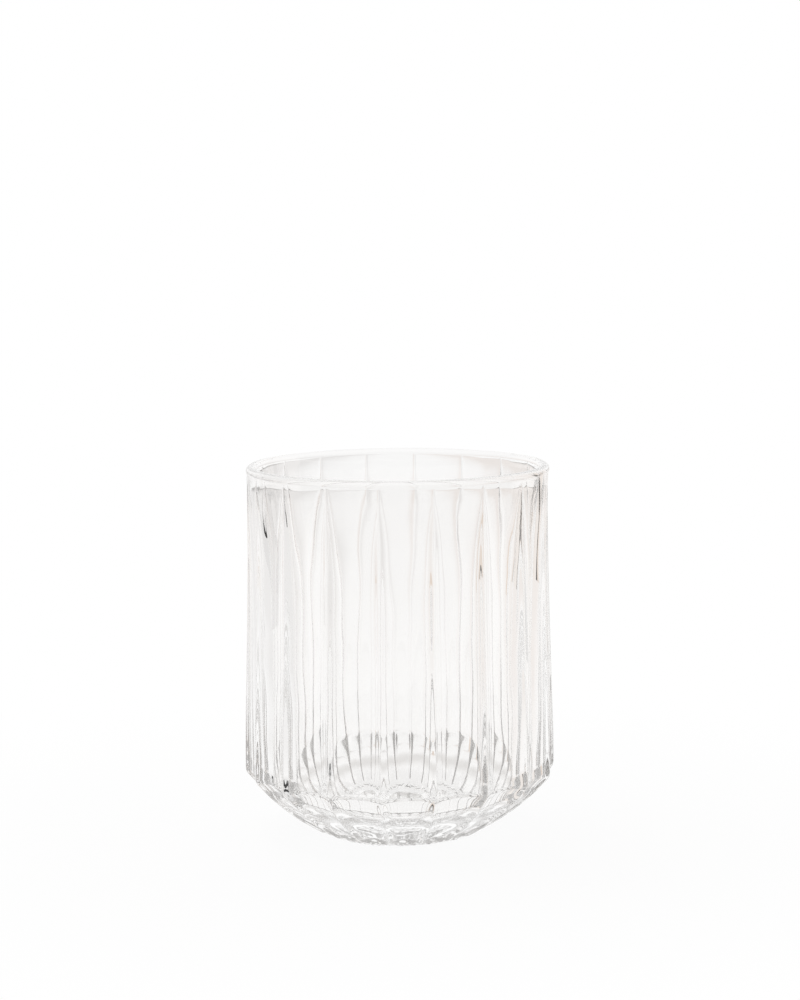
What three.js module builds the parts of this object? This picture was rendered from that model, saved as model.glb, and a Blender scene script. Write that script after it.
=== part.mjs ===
import * as THREE from 'three';

// Fluted iced coffee tumbler: one piece of clear glass with a round lip, vertical flutes parted by
// narrow ribs, a rounded shoulder and a bowl that runs in to a small foot.
// Millimetres. Z is the axis, the foot stands on z = 0 and the front of the glass faces -Y.

// Overall
const HEIGHT = 98.5;
const RIM_DIAMETER = 80;

// Lip and wall
const LIP_THICKNESS = 2.8;
const BEAD_STAND = 0.25; // how far the lip stands out over the neck
const BODY_FLARE = 1.45; // radius gained between the neck and the shoulder
const FLARE_START = 0.25; // shares of the body's height that shape the flare's soft curve
const FLARE_END = 0.5;

// Bowl and foot
const FOOT_DIAMETER = 37.8;
const FOOT_ROUND = 5;
const BOWL_FOOT_ANGLE = 62.3; // slope of the bowl from the vertical, in degrees, beside the foot
const BOWL_SHOULDER_ANGLE = 41; // and under the shoulder
const SHOULDER_ROUND = 3;
const PUNT_DIAMETER = 26; // shallow hollow under the foot
const PUNT_DEPTH = 1.2;

// Inside
const FLOOR_HEIGHT = 8; // from the standing plane to the inside floor
const FLOOR_DIAMETER = 30;
const INSIDE_BOWL_RISE = 7; // from the floor up to the straight inside wall
const INSIDE_FOOT_DIAMETER = 67; // across the lower end of the straight inside wall

// Flutes and ribs
const FLUTE_COUNT = 18;
const FLUTE_DEPTH = 0.9;
const FLUTE_GROWTH = 0.4; // depth that a flute gains between the neck and the shoulder
const FLUTE_RUNOUT = 32; // length over which a flute fades out under the lip
const FLUTE_PINCH = 0.5; // how quickly a flute gets shallower as the bowl narrows
const RIB_WIDTH = 4;
const RIB_HEIGHT = 0.5;
const RIB_START = 0.5; // plain neck between the lip and the tips of the ribs
const RIB_TAPER = 14; // length over which a rib widens and rises from its tip
const FIRST_RIB_ANGLE = 13; // degrees from the front, towards +X
const FLUTE_END_DIAMETER = 41; // plain foot zone inside this circle
const FLUTE_END_FADE = 5;

// Steps of each stretch of the profile
const PUNT_STEPS = 2;
const FOOT_STEPS = 3;
const BOWL_STEPS = 5;
const SHOULDER_STEPS = 4;
const BODY_STEPS = 9;
const LIP_STEPS = 7;
const INSIDE_STEPS = 6;

const RIM_RADIUS = RIM_DIAMETER / 2;
const LIP_RADIUS = LIP_THICKNESS / 2;
const NECK_RADIUS = RIM_RADIUS - BEAD_STAND;
const SHOULDER_RADIUS = NECK_RADIUS + BODY_FLARE;
const INSIDE_RADIUS = RIM_RADIUS - LIP_THICKNESS;
const FOOT_RADIUS = FOOT_DIAMETER / 2;
const LIP_CENTRE = new THREE.Vector2(RIM_RADIUS - LIP_RADIUS, HEIGHT - LIP_RADIUS);
const FLUTES = Math.round(FLUTE_COUNT);

// Points of an arc whose tangent leans `from` and then `to` degrees off the vertical. It starts at `start`.
function leaningArc(start, radius, from, to, steps) {
  const a = THREE.MathUtils.degToRad(from);
  const b = THREE.MathUtils.degToRad(to);
  const x = start.x - radius * Math.cos(a);
  const y = start.y + radius * Math.sin(a);
  return new THREE.ArcCurve(x, y, radius, -a, -b, false).getPoints(steps).slice(1);
}

// Outside of the glass, from the middle of the foot to the groove under the lip.
function outsideProfile() {
  const puntEdge = new THREE.Vector2(PUNT_DIAMETER / 2, 0);
  const puntTop = new THREE.Vector2(0, PUNT_DEPTH);
  const puntPull = new THREE.Vector2(puntEdge.x / 2, PUNT_DEPTH);
  const points = new THREE.QuadraticBezierCurve(puntTop, puntPull, puntEdge).getPoints(PUNT_STEPS);
  points.push(new THREE.Vector2(FOOT_RADIUS, 0));
  points.push(...leaningArc(points.at(-1), FOOT_ROUND, 90, BOWL_FOOT_ANGLE, FOOT_STEPS));

  // The bowl's radius follows from what is left between the foot and the shoulder.
  const low = Math.cos(THREE.MathUtils.degToRad(BOWL_FOOT_ANGLE));
  const high = Math.cos(THREE.MathUtils.degToRad(BOWL_SHOULDER_ANGLE));
  const reach = SHOULDER_RADIUS - SHOULDER_ROUND * (1 - high) - points.at(-1).x;
  const bowlRadius = reach / (high - low);
  points.push(...leaningArc(points.at(-1), bowlRadius, BOWL_FOOT_ANGLE, BOWL_SHOULDER_ANGLE, BOWL_STEPS));
  points.push(...leaningArc(points.at(-1), SHOULDER_ROUND, BOWL_SHOULDER_ANGLE, 0, SHOULDER_STEPS));

  // The body narrows gently from the shoulder to the neck and is upright at both ends.
  const shoulder = points.at(-1);
  const groove = LIP_CENTRE.y - Math.sqrt(LIP_RADIUS ** 2 - (NECK_RADIUS - LIP_CENTRE.x) ** 2);
  const bodyHeight = groove - shoulder.y;
  const lowPull = new THREE.Vector2(SHOULDER_RADIUS, shoulder.y + bodyHeight * FLARE_START);
  const highPull = new THREE.Vector2(NECK_RADIUS, shoulder.y + bodyHeight * FLARE_END);
  const neck = new THREE.Vector2(NECK_RADIUS, groove);
  const body = new THREE.CubicBezierCurve(shoulder, lowPull, highPull, neck);
  points.push(...body.getPoints(BODY_STEPS).slice(1));
  return { points, shoulderHeight: shoulder.y, groove };
}

// Lip, inside wall, inside bowl and floor, from the groove under the lip to the middle of the floor.
function insideProfile(groove) {
  const start = Math.atan2(groove - LIP_CENTRE.y, NECK_RADIUS - LIP_CENTRE.x);
  const lip = new THREE.ArcCurve(LIP_CENTRE.x, LIP_CENTRE.y, LIP_RADIUS, start, Math.PI, false);
  const points = lip.getPoints(LIP_STEPS).slice(1);
  const wallFoot = new THREE.Vector2(INSIDE_FOOT_DIAMETER / 2, FLOOR_HEIGHT + INSIDE_BOWL_RISE);
  const lean = (INSIDE_RADIUS - wallFoot.x) / (LIP_CENTRE.y - wallFoot.y);
  const corner = new THREE.Vector2(wallFoot.x - lean * INSIDE_BOWL_RISE, FLOOR_HEIGHT);
  const floorEdge = new THREE.Vector2(FLOOR_DIAMETER / 2, FLOOR_HEIGHT);
  points.push(...new THREE.QuadraticBezierCurve(wallFoot, corner, floorEdge).getPoints(INSIDE_STEPS));
  points.push(new THREE.Vector2(0, FLOOR_HEIGHT));
  return points;
}

// How far the flutes and ribs cut into the outside at a profile point. `offset` is the distance from
// the nearest rib as a share of the pitch: 0 on the rib and 0.5 in the middle of a flute.
function cut(point, offset, shoulderHeight, groove) {
  const smoothstep = THREE.MathUtils.smoothstep;
  const below = groove - Math.max(point.y, shoulderHeight);
  const growth = FLUTE_GROWTH * below / (groove - shoulderHeight);
  const pinch = (point.x / SHOULDER_RADIUS) ** FLUTE_PINCH;
  const across = 1 - 2 * offset;
  const depth = FLUTE_DEPTH * smoothstep(below, 0, FLUTE_RUNOUT) + growth;
  const flute = depth * pinch * (1 - across ** 2);
  const ribShare = RIB_WIDTH / 2 / (2 * Math.PI * NECK_RADIUS / FLUTES);
  const swell = smoothstep(below, RIB_START, RIB_START + RIB_TAPER);
  const fromCrown = swell > 0 ? Math.min(offset / (ribShare * swell), 1) : 0;
  const rib = RIB_HEIGHT * swell * fromCrown ** 2;
  const end = FLUTE_END_DIAMETER / 2;
  return (flute + rib) * smoothstep(point.x, end, end + FLUTE_END_FADE);
}

// Columns of one pitch as shares of it: the rib's crown, flanks and feet, then the flute.
function pitchColumns() {
  const rib = RIB_WIDTH / 2 / (2 * Math.PI * NECK_RADIUS / FLUTES);
  const half = [0, rib / 2, rib, (rib + 0.5) / 2, 0.5];
  return [...half, ...half.slice(1, -1).reverse().map((share) => 1 - share)];
}

function tumbler() {
  const { points: outside, shoulderHeight, groove } = outsideProfile();
  const profile = [...outside, ...insideProfile(groove)];
  const shares = pitchColumns();
  const columns = shares.length * FLUTES;
  const positions = [];
  const faces = [];

  // The first and last points of the profile are single vertices on the axis, the others are rings.
  positions.push(0, 0, profile[0].y);
  for (let row = 1; row < profile.length - 1; row += 1) {
    for (let column = 0; column < columns; column += 1) {
      const share = shares[column % shares.length];
      const pitch = Math.floor(column / shares.length) + share;
      const angle = THREE.MathUtils.degToRad(FIRST_RIB_ANGLE) + pitch * 2 * Math.PI / FLUTES;
      const offset = Math.min(share, 1 - share);
      const depth = row < outside.length ? cut(profile[row], offset, shoulderHeight, groove) : 0;
      const radius = profile[row].x - depth;
      positions.push(radius * Math.sin(angle), -radius * Math.cos(angle), profile[row].y);
    }
  }
  positions.push(0, 0, profile.at(-1).y);

  const ring = (row, column) => 1 + (row - 1) * columns + column % columns;
  const last = positions.length / 3 - 1;
  const lastRing = profile.length - 2;
  for (let column = 0; column < columns; column += 1) {
    faces.push(0, ring(1, column + 1), ring(1, column));
    for (let row = 1; row < lastRing; row += 1) {
      faces.push(ring(row, column), ring(row, column + 1), ring(row + 1, column + 1));
      faces.push(ring(row, column), ring(row + 1, column + 1), ring(row + 1, column));
    }
    faces.push(ring(lastRing, column), ring(lastRing, column + 1), last);
  }

  const geometry = new THREE.BufferGeometry();
  geometry.setAttribute('position', new THREE.Float32BufferAttribute(positions, 3));
  geometry.setIndex(faces);
  geometry.computeVertexNormals();
  return geometry;
}

const glass = new THREE.MeshStandardMaterial({
  name: 'clear_glass',
  color: 0xeef2f1,
  roughness: 0.05,
  metalness: 0,
  transparent: true,
  opacity: 0.35,
});

const mesh = new THREE.Mesh(tumbler(), glass);
mesh.name = 'tumbler';

const part = new THREE.Group();
part.name = 'iced_coffee_glass';
part.add(mesh);

export default part;
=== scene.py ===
"""Fluted iced coffee tumbler of clear glass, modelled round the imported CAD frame."""

import math

import bpy
from bpy.props import FloatProperty, FloatVectorProperty, IntProperty, PointerProperty
from mathutils import Matrix, Vector
from mathutils.geometry import interpolate_bezier


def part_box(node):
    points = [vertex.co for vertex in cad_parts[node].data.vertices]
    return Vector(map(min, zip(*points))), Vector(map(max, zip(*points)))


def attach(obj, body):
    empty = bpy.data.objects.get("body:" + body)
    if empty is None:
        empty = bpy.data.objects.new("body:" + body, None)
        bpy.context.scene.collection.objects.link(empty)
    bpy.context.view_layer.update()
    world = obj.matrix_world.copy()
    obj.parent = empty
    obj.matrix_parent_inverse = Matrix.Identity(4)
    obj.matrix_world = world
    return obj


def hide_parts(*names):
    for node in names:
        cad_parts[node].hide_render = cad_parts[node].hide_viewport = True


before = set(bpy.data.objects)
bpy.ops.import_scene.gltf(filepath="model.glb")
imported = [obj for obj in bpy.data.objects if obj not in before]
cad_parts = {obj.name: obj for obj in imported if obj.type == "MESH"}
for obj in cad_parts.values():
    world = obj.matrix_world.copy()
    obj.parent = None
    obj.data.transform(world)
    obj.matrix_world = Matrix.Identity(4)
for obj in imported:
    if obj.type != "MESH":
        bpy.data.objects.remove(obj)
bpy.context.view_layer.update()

bl_info = {
    "name": "Fluted Tumbler",
    "version": (1, 0, 0),
    "blender": (4, 5, 0),
    "location": "View3D > Sidebar > Tumbler",
    "description": "Models a fluted iced coffee tumbler of clear glass and its studio",
    "category": "Add Mesh",
}

MM = 0.001
NODE = "tumbler"
BODY = "root"
SLOT = "clear_glass"
NODE_LOW, NODE_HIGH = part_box(NODE)

# Rows of the mesh on each stretch of the half section
PUNT_ROWS = 4
RING_ROWS = 10
FOOT_ROWS = 8
LOW_BOWL_ROWS = 14
HIGH_BOWL_ROWS = 18
SHOULDER_ROWS = 8
BODY_ROWS = 30
LIP_ROWS = 12
WALL_ROWS = 20
INSIDE_BOWL_ROWS = 14
FLOOR_ROWS = 3
LOW_BOWL_SHARE = 0.2  # share of the bowl's turn that takes the dense low rows, where the flutes end

# Columns of the mesh from a rib to the next: share of the pitch and number of columns of each stretch
STRETCHES = ((0.075, 9), (0.1, 4), (0.65, 12), (0.1, 4), (0.075, 9))

UPRIGHT = {"center": (0.0, 0.0, 0.0), "axis": (0.0, 0.0, 1.0)}
MERGE_DISTANCE = 0.002 * MM
TINY = 1e-9
RIB_END = 50.0  # squared distance, in rounds of the rib, past which a rib has wholly fallen

# Patterns of the glass, and where the wear of its foot fades out
GLASS_IOR = 1.5
STREAK_SCALE, STREAK_DETAIL = 60.0, 3.0
SCUFF_SCALE, SCUFF_DETAIL = 900.0, 4.0
WORN_LOW, WORN_HIGH = 0.05 * MM, 0.35 * MM
WORN_MARGIN = 1.0 * MM

# Metres from the axis of the glass between which painted shade on the floor, seen only in the glass, comes or
# goes; SHADOW_FADE sets where the camera sees the floor's real shadow
PAINTED_SHADE_SIDE_FADE = (0.02, 0.2)
PAINTED_SHADE_EDGE_FADE = (0.4, 1.3)
PAINTED_SHADE_FRONT_FADE = (-0.35, -0.02)
PAINTED_RING_SHADOW_START = (0.034, 0.048)
PAINTED_RING_SHADOW_END = (0.048, 0.075)
SHADOW_FADE = (0.06, 0.2)

# Upright part of a direction between which the ceiling comes in
CEILING_FADE = (0.3, 0.75)
OVERHEAD_FADE = (0.35, 0.8)

WHITE = (1.0, 1.0, 1.0)
FLOOR_SIZE = 18.0
SOFTBOX_PLACE = (-0.2, 0.15, 0.8)
SOFTBOX_AIM = (0.0, 0.0, 0.05)
SOFTBOX_SIZE = 0.6
SOFTBOX_POWER = 2.6
LIGHT_BOUNCES = 32

# Cards that show in the glass alone: name, degrees from straight behind the glass, then distance, width
# and height in millimetres, and colour
CARDS = (
    ("card_left_dark", -66.0, 400.0, 54.0, 70.0, (0.02, 0.02, 0.02)),
    ("card_right_dark", 47.5, 296.0, 40.0, 120.0, (0.02, 0.018, 0.016)),
    ("card_right_brown", 38.0, 300.0, 56.0, 48.0, (0.78, 0.68, 0.6)),
    ("card_right_beige", 60.0, 300.0, 280.0, 300.0, (0.88, 0.83, 0.79)),
)


def length(name, millimetres, description):
    """A property for a length."""
    return FloatProperty(name=name, description=description, default=millimetres * MM,
                         min=0.0, unit="LENGTH", precision=5)


def angle(name, degrees, description):
    """A property for an angle."""
    return FloatProperty(name=name, description=description, default=math.radians(degrees),
                         unit="ROTATION", subtype="ANGLE")


def share(name, default, description):
    """A property for a share or another plain number."""
    return FloatProperty(name=name, description=description, default=default, min=0.0)


def colour(name, default, description):
    """A property for a colour."""
    return FloatVectorProperty(name=name, description=description, default=default, size=3,
                               min=0.0, max=1.0, subtype="COLOR")


class TumblerShape(bpy.types.PropertyGroup):
    """Sizes of the glass."""
    height: FloatProperty(name="Height", description="From the table to the top of the lip",
                          default=NODE_HIGH.z - NODE_LOW.z, unit="LENGTH", precision=5)
    rim_diameter: length("Rim diameter", 80.0, "Across the outside of the lip")
    lip_thickness: length("Lip thickness", 2.8, "Wall at the rounded lip")
    bead_stand: length("Bead stand", 0.25, "How far the lip stands out over the neck")
    body_flare: length("Body flare", 1.45, "Radius gained between the neck and the shoulder")
    flare_start: share("Flare start", 0.25, "Share of the body's height pulled by the shoulder")
    flare_end: share("Flare end", 0.5, "Share of the body's height where the neck's pull sits")
    foot_diameter: length("Foot diameter", 37.8, "Across the flat ring that the glass stands on")
    foot_round: length("Foot round", 5.0, "Rounding beside the foot")
    bowl_foot_lean: angle("Bowl lean at the foot", 62.3, "Slope off the vertical beside the foot")
    bowl_top_lean: angle("Bowl lean at the top", 41.0, "Slope off the vertical under the shoulder")
    shoulder_round: length("Shoulder round", 3.0, "Rounding of the shoulder")
    punt_diameter: length("Punt diameter", 26.0, "Across the shallow hollow under the foot")
    punt_depth: length("Punt depth", 1.2, "Depth of the hollow under the foot")
    floor_height: length("Floor height", 8.0, "From the table to the inside floor")
    floor_diameter: length("Floor diameter", 30.0, "Flat part of the inside floor")
    inside_rise: length("Inside bowl rise", 7.0, "From the floor to the straight inside wall")
    inside_foot: length("Inside foot diameter", 67.0, "Across the lower end of the straight inside wall")
    flute_count: IntProperty(name="Flutes", description="Number of flutes", default=18, min=3)
    flute_depth: length("Flute depth", 0.9, "Depth of a flute in the body")
    flute_growth: length("Flute growth", 0.4, "Depth gained between the neck and the shoulder")
    flute_runout: length("Flute runout", 32.0, "Length over which a flute fades out at the top")
    flute_pinch: share("Flute pinch", 0.2, "How quickly a flute gets shallower on the bowl")
    rib_width: length("Rib width", 4.0, "Width of a rib at its feet")
    rib_height: length("Rib height", 0.5, "How far a rib stands out")
    rib_start: length("Rib start", 0.9, "Plain neck between the lip and the tips of the ribs")
    rib_taper: length("Rib taper", 14.0, "Length over which a rib widens from its tip")
    rib_round: share("Rib round", 0.65, "How broad the round of a rib is, as a share of its width")
    rib_crispness: share("Rib crispness", 0.45, "How steep the tips of the ribs are, less is steeper")
    rib_spread: share("Rib spread", 0.75, "How quickly a rib widens from its tip, less is quicker")
    first_rib: angle("First rib", 13.0, "Angle of the first rib from the front")
    flute_end_diameter: length("Flute end", 42.0, "Plain foot zone inside this circle")
    flute_end_fade: length("Flute end fade", 2.5, "Length over which the flutes end on the bowl")
    bowl_flute: length("Bowl flute", 0.6, "Depth that a flute gains on the bowl")
    bowl_rib: length("Bowl rib", 0.4, "Height that a rib gains on the bowl")
    bowl_blend: length("Bowl blend", 5.0, "Height under the shoulder over which they gain it")
    stipple_height: length("Stipple height", 0.5, "Height of the dots beside the foot")
    stipple_pitch: length("Stipple pitch", 1.3, "Distance between the dots beside the foot")
    stipple_start: length("Stipple start", 32.0, "Inner diameter of the ring of dots")
    stipple_end: length("Stipple end", 45.0, "Outer diameter of the ring of dots")
    wave_height: length("Wave height", 0.8, "Unevenness of the inside wall")
    wave_size: length("Wave size", 14.0, "Width of the waves in the inside wall")
    wave_start: length("Wave start", 8.0, "Depth under the top of the lip from which the waves are full")


class TumblerFinish(bpy.types.PropertyGroup):
    """Colour and polish of the glass."""
    clear_tint: colour("Clear tint", (1.0, 0.997, 0.993), "Colour of clear, fire-polished glass")
    deep_tint: colour("Deep tint", (0.994, 0.989, 0.984), "Colour of slightly denser streaks")
    polish: share("Polish", 0.0, "Roughness of the polished surfaces")
    wear: share("Wear", 0.22, "Roughness of the ring that the glass stands on")


class TumblerStage(bpy.types.PropertyGroup):
    """Camera and studio."""
    distance: length("Camera distance", 720.0, "From the axis of the glass to the camera")
    eye_height: length("Camera height", 180.4, "Camera over the table")
    tilt: angle("Camera tilt", 7.25, "How far the camera looks down")
    turn: angle("Camera turn", -0.046, "How far the camera looks past the axis")
    roll: angle("Camera roll", -0.493, "Turn of the camera about its own axis")
    focal: FloatProperty(name="Focal length", description="Focal length in millimetres",
                         default=98.9, unit="CAMERA")
    room_tone: colour("Room tone", (0.2, 0.19, 0.18), "Grey of the room behind the camera")
    room_start: FloatProperty(name="Room start", default=-0.1,
                              description="Forward part of a direction up to which the room is full")
    room_end: FloatProperty(name="Room end", default=0.8,
                            description="Forward part of a direction from which all is white")
    ceiling_share: share("Ceiling share", 0.2, "How much whiter the room is overhead")
    overhead_share: share("Overhead share", 0.6, "How much of the room's grey the whole ceiling has")
    # Painted shade: the next five tones grey the floor only where the glass sees it, at the right and left,
    # in front, far to the sides and in a painted ring of shadow round the foot
    right_painted_shade: colour("Right tone", (0.89, 0.85, 0.825), "Floor to the right, as seen in the glass")
    left_painted_shade: colour("Left tone", (0.85, 0.84, 0.835), "Floor to the left, as seen in the glass")
    front_painted_shade: colour("Front tone", (0.5, 0.485, 0.47), "Floor in front, as seen in the glass")
    edge_painted_shade: colour("Edge tone", (0.25, 0.24, 0.23), "Floor far to the sides, as seen in the glass")
    ring_painted_shadow: colour("Ring tone", (0.8, 0.79, 0.78), "Soft ring of shade round the glass, as seen in it")
    shadow_share: share("Shadow share", 0.05, "How much of the floor's real light the camera sees")


def smoothstep(value, low, high):
    """0 up to the low end, rising softly to 1 at the high end."""
    part = min(max((value - low) / (high - low), 0.0), 1.0)
    return part * part * (3.0 - 2.0 * part)


def leaning_arc(start, radius, lean_from, lean_to, steps):
    """Points of an arc whose tangent leans from one angle off the vertical to another."""
    centre = start + radius * Vector((-math.cos(lean_from), math.sin(lean_from)))
    leans = [lean_from + (lean_to - lean_from) * step / steps for step in range(1, steps + 1)]
    return [centre + radius * Vector((math.cos(lean), -math.sin(lean))) for lean in leans]


def cubic(start, first_pull, second_pull, end, steps):
    """Points of a soft curve with two pulls, without its start."""
    points = interpolate_bezier(start, first_pull, second_pull, end, steps + 1)
    return [point.to_2d() for point in points][1:]


def quadratic(start, pull, end, steps):
    """Points of a soft curve with one pull, without its start."""
    return cubic(start, start.lerp(pull, 2 / 3), end.lerp(pull, 2 / 3), end, steps)


def straight(start, end, steps):
    """Points of a straight line, without its start."""
    return [start.lerp(end, step / steps) for step in range(1, steps + 1)]


class Profile:
    """Half section of the glass: radius and height from the middle of the foot, up the outside,
    over the lip and down the inside to the middle of the floor."""

    def __init__(self, shape):
        self.shape = shape
        self.rim = shape.rim_diameter / 2
        self.lip = shape.lip_thickness / 2
        self.neck = self.rim - shape.bead_stand
        self.shoulder = self.neck + shape.body_flare
        self.lip_centre = Vector((self.rim - self.lip, shape.height - self.lip))
        drop = math.sqrt(self.lip ** 2 - (self.neck - self.lip_centre.x) ** 2)
        self.groove = self.lip_centre.y - drop
        self.outside = self._outside()
        self.inside = self._inside()

    def _outside(self):
        """From the middle of the foot to the groove under the lip."""
        s = self.shape
        punt_edge = Vector((s.punt_diameter / 2, 0.0))
        points = [Vector((0.0, s.punt_depth))]
        points += quadratic(points[0], Vector((punt_edge.x / 2, s.punt_depth)), punt_edge, PUNT_ROWS)
        points += straight(punt_edge, Vector((s.foot_diameter / 2, 0.0)), RING_ROWS)
        points += leaning_arc(points[-1], s.foot_round, math.pi / 2, s.bowl_foot_lean, FOOT_ROWS)

        # The bowl's radius follows from what is left between the foot and the shoulder.
        low, high = math.cos(s.bowl_foot_lean), math.cos(s.bowl_top_lean)
        reach = self.shoulder - s.shoulder_round * (1.0 - high) - points[-1].x
        radius = reach / (high - low)
        mid_lean = s.bowl_foot_lean + (s.bowl_top_lean - s.bowl_foot_lean) * LOW_BOWL_SHARE
        points += leaning_arc(points[-1], radius, s.bowl_foot_lean, mid_lean, LOW_BOWL_ROWS)
        points += leaning_arc(points[-1], radius, mid_lean, s.bowl_top_lean, HIGH_BOWL_ROWS)
        points += leaning_arc(points[-1], s.shoulder_round, s.bowl_top_lean, 0.0, SHOULDER_ROWS)

        # The body is upright at the shoulder and at the neck.
        shoulder = points[-1]
        self.shoulder_height = shoulder.y
        rise = self.groove - shoulder.y
        low_pull = Vector((self.shoulder, shoulder.y + rise * s.flare_start))
        high_pull = Vector((self.neck, shoulder.y + rise * s.flare_end))
        points += cubic(shoulder, low_pull, high_pull, Vector((self.neck, self.groove)), BODY_ROWS)
        return points

    def _inside(self):
        """Over the lip from the groove and down to the middle of the floor."""
        s = self.shape
        centre = self.lip_centre
        start = math.atan2(self.groove - centre.y, self.neck - centre.x)
        turns = [start + (math.pi - start) * step / LIP_ROWS for step in range(1, LIP_ROWS + 1)]
        points = [centre + self.lip * Vector((math.cos(turn), math.sin(turn))) for turn in turns]
        wall_foot = Vector((s.inside_foot / 2, s.floor_height + s.inside_rise))
        points += straight(points[-1], wall_foot, WALL_ROWS)
        lean = (self.rim - s.lip_thickness - wall_foot.x) / (centre.y - wall_foot.y)
        corner = Vector((wall_foot.x - lean * s.inside_rise, s.floor_height))
        floor_edge = Vector((s.floor_diameter / 2, s.floor_height))
        points += quadratic(wall_foot, corner, floor_edge, INSIDE_BOWL_ROWS)
        points += straight(floor_edge, Vector((0.0, s.floor_height)), FLOOR_ROWS)
        return points

    def cut(self, radius, height, offset):
        """Depth of flutes and ribs. Offset is the distance from the nearest rib, as a share of
        the pitch: 0 on the rib and 0.5 in the middle of a flute."""
        s = self.shape
        below = self.groove - max(height, self.shoulder_height)
        growth = s.flute_growth * below / (self.groove - self.shoulder_height)
        pinch = (radius / self.shoulder) ** s.flute_pinch
        on_bowl = smoothstep(self.shoulder_height - height, 0.0, s.bowl_blend)
        depth = s.flute_depth * smoothstep(below, 0.0, s.flute_runout) + growth + s.bowl_flute * on_bowl
        flute = depth * pinch * (1.0 - (1.0 - 2.0 * offset) ** 2)
        rib_share = s.rib_width / 2 / (2 * math.pi * self.neck / s.flute_count)
        swell = smoothstep(below, s.rib_start, s.rib_start + s.rib_taper)
        fall = offset / max(rib_share * s.rib_round * swell ** s.rib_spread, TINY)
        rise = s.rib_height * swell ** s.rib_crispness + s.bowl_rib * on_bowl
        rib = rise * (1.0 - math.exp(-min(fall * fall, RIB_END)))
        end = s.flute_end_diameter / 2
        return (flute + rib) * smoothstep(radius, end, end + s.flute_end_fade)


def draw_profile(points, heading):
    """Draws a chain of edges in the upright plane of the heading, by extruding one vertex."""
    across = Vector((math.sin(heading), -math.cos(heading), 0.0))
    places = [across * point.x + Vector((0.0, 0.0, point.y)) for point in points]
    bpy.ops.object.select_all(action="DESELECT")
    bpy.ops.mesh.primitive_plane_add(size=MM)
    drawn = bpy.context.object
    bpy.ops.object.mode_set(mode="EDIT")
    bpy.ops.mesh.select_all(action="SELECT")
    bpy.ops.mesh.merge(type="CENTER")
    bpy.ops.transform.translate(value=places[0])
    for here, there in zip(places, places[1:]):
        bpy.ops.mesh.extrude_region_move(TRANSFORM_OT_translate={"value": there - here})
    bpy.ops.object.mode_set(mode="OBJECT")
    return drawn


def add_group(piece, name, weights):
    """Makes a vertex group from pairs of a vertex's index and its weight."""
    group = piece.vertex_groups.new(name=name)
    for index, weight in weights:
        group.add([index], weight, "REPLACE")


def members(piece, name):
    """The vertices of a vertex group."""
    number = piece.vertex_groups[name].index
    return [v for v in piece.data.vertices if any(g.group == number for g in v.groups)]


def displace(piece, group_name, strength, texture=None, mid_level=0.0):
    """Moves a group's vertices along their normals, by a Displace modifier that is applied."""
    bpy.ops.object.modifier_add(type="DISPLACE")
    modifier = piece.modifiers[-1]
    modifier.vertex_group = group_name
    modifier.strength = strength
    modifier.mid_level = mid_level
    modifier.texture = texture
    modifier.texture_coords = "LOCAL"
    bpy.ops.object.modifier_apply(modifier=modifier.name)


def spin_profile(flute_count):
    """Spins the selected profile round one pitch, then repeats the pitch round the glass."""
    pitch = 2 * math.pi / flute_count
    bpy.ops.object.mode_set(mode="EDIT")
    bpy.ops.mesh.select_all(action="SELECT")
    for part, columns in STRETCHES:
        bpy.ops.mesh.spin(steps=columns, angle=part * pitch, **UPRIGHT)
    bpy.ops.mesh.select_all(action="SELECT")
    bpy.ops.mesh.spin(steps=flute_count - 1, angle=2 * math.pi - pitch, dupli=True, **UPRIGHT)
    bpy.ops.mesh.select_all(action="SELECT")
    bpy.ops.mesh.remove_doubles(threshold=MERGE_DISTANCE)
    bpy.ops.mesh.normals_make_consistent(inside=False)
    bpy.ops.object.mode_set(mode="OBJECT")
    bpy.ops.object.shade_smooth()


def cut_flutes(glass, profile):
    """Cuts the flutes and ribs into the outside."""
    shape = profile.shape
    deepest = (shape.flute_depth + shape.flute_growth + shape.rib_height
               + shape.bowl_flute + shape.bowl_rib)
    weights = []
    for vertex in members(glass, "outside"):
        place = vertex.co
        radius = math.hypot(place.x, place.y)
        if radius < shape.flute_end_diameter / 2:
            continue
        pitches = (math.atan2(place.x, -place.y) - shape.first_rib) * shape.flute_count / (2 * math.pi)
        offset = abs(pitches - round(pitches))
        outward = vertex.normal.dot(place.to_2d().to_3d()) / radius
        weights.append((vertex.index, profile.cut(radius, place.z, offset) * outward / deepest))
    add_group(glass, "flutes", weights)
    displace(glass, "flutes", -deepest)


def wave_inside(glass, shape):
    """Gives the inside wall the faint waves of pressed glass."""
    waves = bpy.data.textures.new("inside_waves", type="CLOUDS")
    waves.noise_scale = shape.wave_size
    displace(glass, "inside", shape.wave_height, waves, mid_level=0.5)


def stipple_foot(glass, shape):
    """Raises a ring of small dots beside the foot."""
    ring = (shape.stipple_start + shape.stipple_end) / 4
    half = (shape.stipple_end - shape.stipple_start) / 4
    add_group(glass, "stipple", [
        (v.index, 1.0 - smoothstep(abs(v.co.to_2d().length - ring), half - shape.stipple_pitch, half))
        for v in members(glass, "outside")])
    dots = bpy.data.textures.new("stipple_dots", type="VORONOI")
    dots.noise_scale = shape.stipple_pitch
    displace(glass, "stipple", -shape.stipple_height, dots)


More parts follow.
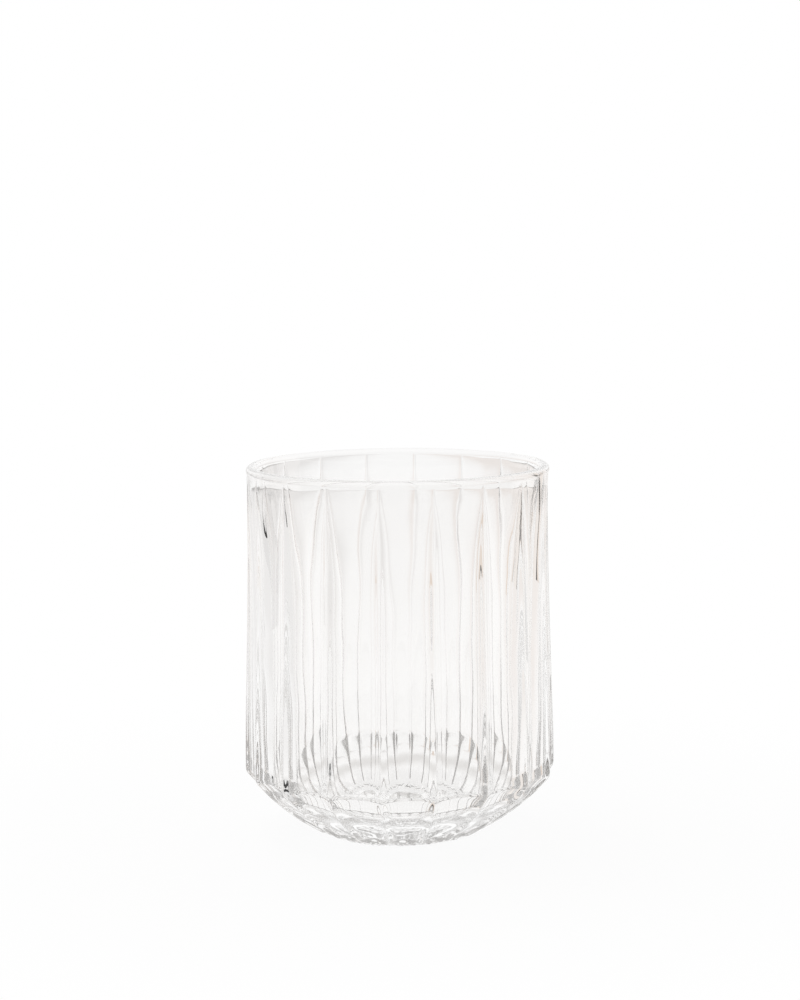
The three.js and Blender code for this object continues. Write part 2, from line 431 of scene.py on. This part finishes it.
class TUMBLER_OT_model_glass(bpy.types.Operator):
    """Models the glass from its half section, cuts the flutes and gives it its finish"""
    bl_idname = "tumbler.model_glass"
    bl_label = "Model the glass"

    def execute(self, context):
        shape = context.scene.tumbler_shape
        profile = Profile(shape)
        points = profile.outside + profile.inside
        glass = draw_profile(points, shape.first_rib)
        glass.name = glass.data.name = "fluted_glass"
        on_outside = len(profile.outside)
        add_group(glass, "outside", [(i, 1.0) for i in range(on_outside)])
        add_group(glass, "inside", [
            (i, smoothstep(shape.height - points[i].y, shape.lip_thickness, shape.wave_start))
            for i in range(on_outside, len(points))])

        spin_profile(shape.flute_count)
        cut_flutes(glass, profile)
        wave_inside(glass, shape)
        stipple_foot(glass, shape)

        glass.vertex_groups.clear()
        glass.data.materials.append(clear_glass(context.scene.tumbler_finish, shape))
        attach(glass, BODY)
        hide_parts(NODE)
        return {"FINISHED"}


class Value:
    """A shader socket that takes part in sums: each operation adds a Math node."""

    def __init__(self, board, socket):
        self.board = board
        self.socket = socket

    def _math(self, operation, first, second):
        node = self.board.node("ShaderNodeMath", {"operation": operation}, {0: first, 1: second})
        return Value(self.board, node.outputs[0])

    def __add__(self, other):
        return self._math("ADD", self, other)

    __radd__ = __add__

    def __sub__(self, other):
        return self._math("SUBTRACT", self, other)

    def __rsub__(self, other):
        return self._math("SUBTRACT", other, self)

    def __mul__(self, other):
        return self._math("MULTIPLY", self, other)

    __rmul__ = __mul__

    def __pow__(self, other):
        return self._math("POWER", self, other)

    def larger(self, other):
        return self._math("MAXIMUM", self, other)


class Board:
    """Adds and links the nodes of one material or of the world."""

    def __init__(self, tree):
        self.tree = tree
        tree.nodes.clear()

    def node(self, kind, settings=None, sockets=None):
        """Adds a node, sets it up, then gives its sockets their values or links."""
        node = self.tree.nodes.new(kind)
        for name, value in (settings or {}).items():
            setattr(node, name, value)
        for name, value in (sockets or {}).items():
            self.feed(node.inputs[name], value)
        return node

    def feed(self, socket, value):
        """Links a socket to another one, or sets its value."""
        if isinstance(value, Value):
            value = value.socket
        if isinstance(value, bpy.types.NodeSocket):
            self.tree.links.new(value, socket)
        else:
            socket.default_value = value

    def value(self, node, output=0):
        """A node's output, ready for sums."""
        return Value(self, node.outputs[output])

    def axes(self, vector):
        """The X, Y and Z of a vector."""
        parts = self.node("ShaderNodeSeparateXYZ", sockets={"Vector": vector})
        return [self.value(parts, axis) for axis in "XYZ"]

    def fade(self, value, start, end):
        """1 up to the start, falling softly to 0 at the end."""
        node = self.node("ShaderNodeMapRange", {"interpolation_type": "SMOOTHSTEP"},
                         {"Value": value, "From Min": start, "From Max": end, "To Min": 1.0, "To Max": 0.0})
        return self.value(node, "Result")

    def blend(self, factor, first, second):
        """A colour between two others."""
        node = self.node("ShaderNodeMix", {"data_type": "RGBA"}, {"Factor": factor, "A": first, "B": second})
        return node.outputs["Result"]


def rgba(tone):
    """A solid colour with its alpha."""
    return (*tone, 1.0)


def new_material(name):
    """A new material and the board for its nodes."""
    material = bpy.data.materials.new(name)
    material.use_nodes = True
    return material, Board(material.node_tree)


def clear_glass(finish, shape):
    """Clear glass: faint streaks in its colour and a worn ring to stand on."""
    material, board = new_material(SLOT)
    places = board.node("ShaderNodeTexCoord").outputs["Object"]
    x, y, z = board.axes(places)
    radius = (x * x + y * y) ** 0.5

    streaks = board.node("ShaderNodeTexNoise", sockets={
        "Vector": places, "Scale": STREAK_SCALE, "Detail": STREAK_DETAIL})
    tint = board.blend(board.value(streaks), rgba(finish.clear_tint), rgba(finish.deep_tint))

    foot = shape.foot_diameter / 2
    standing = board.fade(z, WORN_LOW, WORN_HIGH) * board.fade(radius, foot, foot + WORN_MARGIN)
    scuffs = board.node("ShaderNodeTexNoise", sockets={
        "Vector": places, "Scale": SCUFF_SCALE, "Detail": SCUFF_DETAIL})
    roughness = standing * board.value(scuffs) * finish.wear + finish.polish

    surface = board.node("ShaderNodeBsdfPrincipled", sockets={
        "Base Color": tint,
        "Roughness": roughness,
        "IOR": GLASS_IOR,
        "Transmission Weight": 1.0,
    })
    board.node("ShaderNodeOutputMaterial", sockets={"Surface": surface.outputs["BSDF"]})
    return material


def glow(name, tone):
    """A plain self-lit tone for a card in the studio."""
    material, board = new_material(name)
    light = board.node("ShaderNodeEmission", sockets={"Color": rgba(tone), "Strength": 1.0})
    board.node("ShaderNodeOutputMaterial", sockets={"Surface": light.outputs[0]})
    return material


def white_floor(stage):
    """White to the camera, with the soft shadow kept. In the glass it carries painted shade: greyer at the
    sides, towards the room and in a painted ring of shadow round the foot."""
    material, board = new_material("white_floor")
    places = board.node("ShaderNodeTexCoord").outputs["Object"]
    x, y, _ = board.axes(places)
    radius = (x * x + y * y) ** 0.5
    aside = (x * x) ** 0.5
    # Painted ring of shadow round the foot, seen only in the glass
    ring = (1.0 - board.fade(radius, *PAINTED_RING_SHADOW_START)) * board.fade(radius, *PAINTED_RING_SHADOW_END)
    rays = board.node("ShaderNodeLightPath")
    in_glass = board.value(rays, "Is Glossy Ray").larger(board.value(rays, "Is Transmission Ray"))

    tone = board.node("ShaderNodeRGB").outputs[0]
    tone.default_value = rgba(WHITE)
    # Painted shade laid on the floor for rays in the glass: right and left sides, far edges, front and the
    # painted ring of shadow round the foot
    for painted_shade_share, shade in (
            (1.0 - board.fade(x, *PAINTED_SHADE_SIDE_FADE), stage.right_painted_shade),
            (1.0 - board.fade(x * -1.0, *PAINTED_SHADE_SIDE_FADE), stage.left_painted_shade),
            (1.0 - board.fade(aside, *PAINTED_SHADE_EDGE_FADE), stage.edge_painted_shade),
            (board.fade(y, *PAINTED_SHADE_FRONT_FADE), stage.front_painted_shade),
            (ring, stage.ring_painted_shadow)):
        tone = board.blend(painted_shade_share * in_glass, tone, rgba(shade))

    near = board.fade(radius, *SHADOW_FADE)
    glow_share = board.value(rays, "Is Camera Ray") * (1.0 - near * stage.shadow_share) + in_glass
    matt = board.node("ShaderNodeBsdfDiffuse", sockets={"Color": tone})
    white = board.node("ShaderNodeEmission", sockets={"Color": tone, "Strength": 1.0})
    mixed = board.node("ShaderNodeMixShader", sockets={
        0: glow_share, 1: matt.outputs[0], 2: white.outputs[0]})
    board.node("ShaderNodeOutputMaterial", sockets={"Surface": mixed.outputs[0]})
    return material


def studio_world(stage):
    """White behind the glass, greyer overhead and towards the room behind the camera."""
    world = bpy.data.worlds.new("studio")
    world.use_nodes = True
    board = Board(world.node_tree)
    _, ahead, up = board.axes(board.node("ShaderNodeTexCoord").outputs["Generated"])
    whiter = (1.0 - board.fade(up, *CEILING_FADE)) * stage.ceiling_share
    room = board.fade(ahead, stage.room_start, stage.room_end) * (1.0 - whiter)
    overhead = (1.0 - board.fade(up, *OVERHEAD_FADE)) * stage.overhead_share
    tone = board.blend(room.larger(overhead), rgba(WHITE), rgba(stage.room_tone))
    sky = board.node("ShaderNodeBackground", sockets={"Color": tone, "Strength": 1.0})
    board.node("ShaderNodeOutputWorld", sockets={"Surface": sky.outputs[0]})
    return world


class TUMBLER_OT_set_stage(bpy.types.Operator):
    """Sets the floor, the cards, the lamp and the camera"""
    bl_idname = "tumbler.set_stage"
    bl_label = "Set the stage"

    def execute(self, context):
        stage = context.scene.tumbler_stage
        bpy.ops.object.select_all(action="DESELECT")
        bpy.ops.mesh.primitive_plane_add(size=FLOOR_SIZE)
        floor = context.object
        floor.name = "floor"
        floor.data.materials.append(white_floor(stage))

        for name, degrees, distance, width, height, tone in CARDS:
            turn = math.radians(degrees)
            place = Vector((distance * math.sin(turn), distance * math.cos(turn), height / 2)) * MM
            bpy.ops.mesh.primitive_plane_add(size=1.0, location=place, rotation=(math.pi / 2, 0.0, -turn))
            card = context.object
            card.name = name
            card.scale = (width * MM, height * MM, 1.0)
            bpy.ops.object.transform_apply(location=True, rotation=True, scale=True)
            card.data.materials.append(glow(name, tone))
            card.visible_camera = card.visible_diffuse = card.visible_shadow = False

        context.scene.world = studio_world(stage)

        bpy.ops.object.light_add(type="AREA", location=SOFTBOX_PLACE)
        softbox = context.object
        softbox.name = "softbox"
        softbox.data.size = SOFTBOX_SIZE
        softbox.data.energy = SOFTBOX_POWER
        softbox.visible_glossy = softbox.visible_transmission = False
        aim = Vector(SOFTBOX_AIM) - softbox.location
        softbox.rotation_euler = aim.to_track_quat("-Z", "Y").to_euler()

        look = (Matrix.Rotation(stage.turn, 3, "Z") @ Matrix.Rotation(math.pi / 2 - stage.tilt, 3, "X")
                @ Matrix.Rotation(stage.roll, 3, "Z"))
        bpy.ops.object.camera_add(location=(0.0, -stage.distance, stage.eye_height), rotation=look.to_euler())
        camera = context.object
        camera.data.lens = stage.focal
        context.scene.camera = camera
        context.scene.view_settings.view_transform = "Standard"
        limits = context.scene.cycles
        limits.max_bounces = limits.transmission_bounces = limits.glossy_bounces = LIGHT_BOUNCES
        return {"FINISHED"}


class TUMBLER_PT_sidebar(bpy.types.Panel):
    """Lists the steps and their values in the sidebar of the 3D view"""
    bl_label = "Fluted Tumbler"
    bl_idname = "TUMBLER_PT_sidebar"
    bl_space_type = "VIEW_3D"
    bl_region_type = "UI"
    bl_category = "Tumbler"

    def draw(self, context):
        scene = context.scene
        column = self.layout.column()
        for step in (TUMBLER_OT_model_glass, TUMBLER_OT_set_stage):
            column.operator(step.bl_idname)
        for group in (scene.tumbler_shape, scene.tumbler_finish, scene.tumbler_stage):
            for name in group.__annotations__:
                column.prop(group, name)


CLASSES = (TumblerShape, TumblerFinish, TumblerStage, TUMBLER_OT_model_glass, TUMBLER_OT_set_stage,
           TUMBLER_PT_sidebar)


def register():
    for entry in CLASSES:
        bpy.utils.register_class(entry)
    bpy.types.Scene.tumbler_shape = PointerProperty(type=TumblerShape)
    bpy.types.Scene.tumbler_finish = PointerProperty(type=TumblerFinish)
    bpy.types.Scene.tumbler_stage = PointerProperty(type=TumblerStage)


def unregister():
    del bpy.types.Scene.tumbler_stage
    del bpy.types.Scene.tumbler_finish
    del bpy.types.Scene.tumbler_shape
    for entry in reversed(CLASSES):
        bpy.utils.unregister_class(entry)


def main():
    register()
    bpy.ops.tumbler.model_glass()
    bpy.ops.tumbler.set_stage()


if __name__ == "__main__":
    main()
